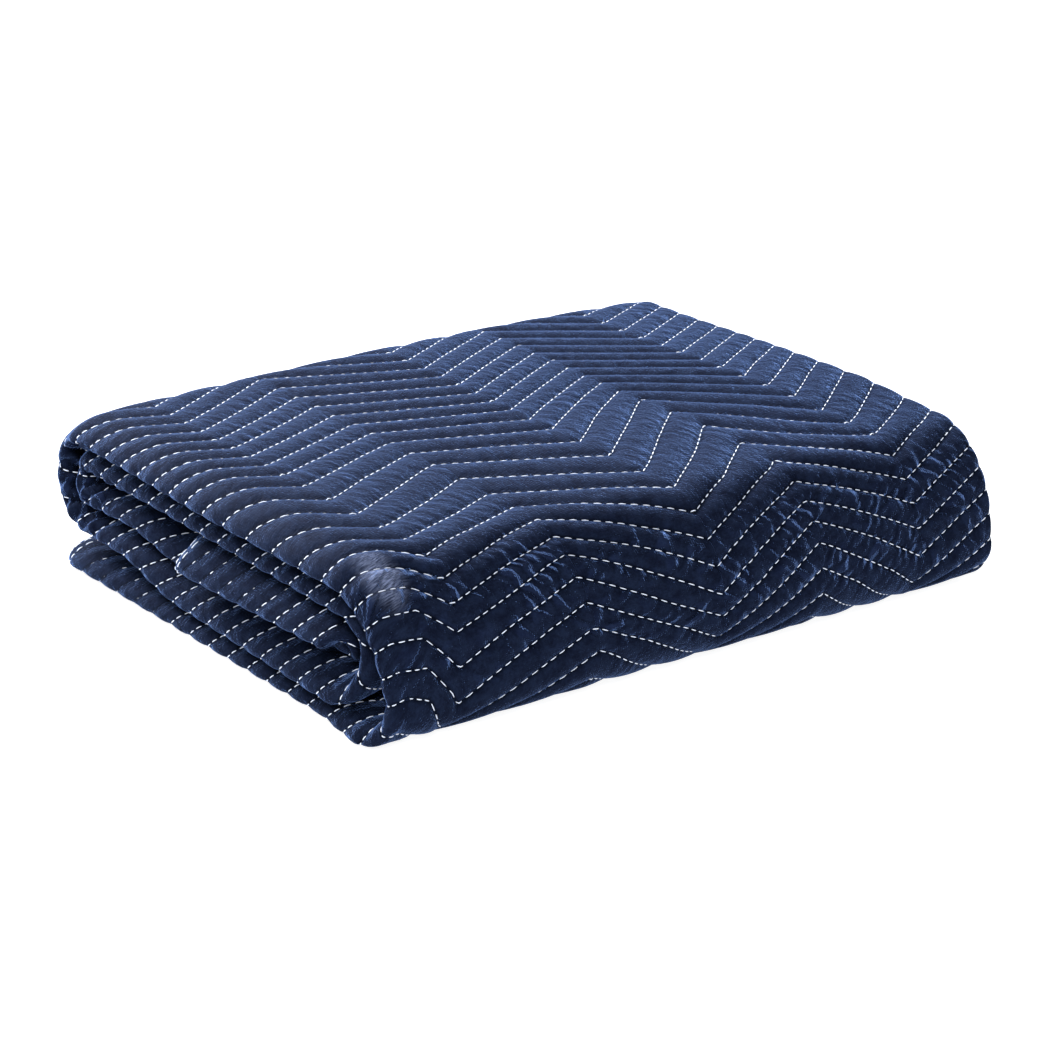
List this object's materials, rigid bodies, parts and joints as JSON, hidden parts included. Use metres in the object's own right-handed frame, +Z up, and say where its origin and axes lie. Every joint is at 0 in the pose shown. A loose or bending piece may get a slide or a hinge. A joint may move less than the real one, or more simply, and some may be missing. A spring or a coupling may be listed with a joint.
{
  "type": "folded moving blanket",
  "caption": "Quilted navy moving blanket with zigzag stitching, folded in eight along its length and rolled flat into a low rectangular bundle.",
  "frame": {"origin": "middle of the bundle's underside, on the surface it rests on", "axes": "+X along the rows of quilting, towards the right ends; -Y towards the broad front fold; +Z up"},
  "size_m": [0.43, 0.3458, 0.0929],
  "materials": {
    "navy_woven_polyester": "woven, slight sheen"
  },
  "bodies": {
    "root": {"blanket": "navy_woven_polyester"}
  },
  "joints": []
}
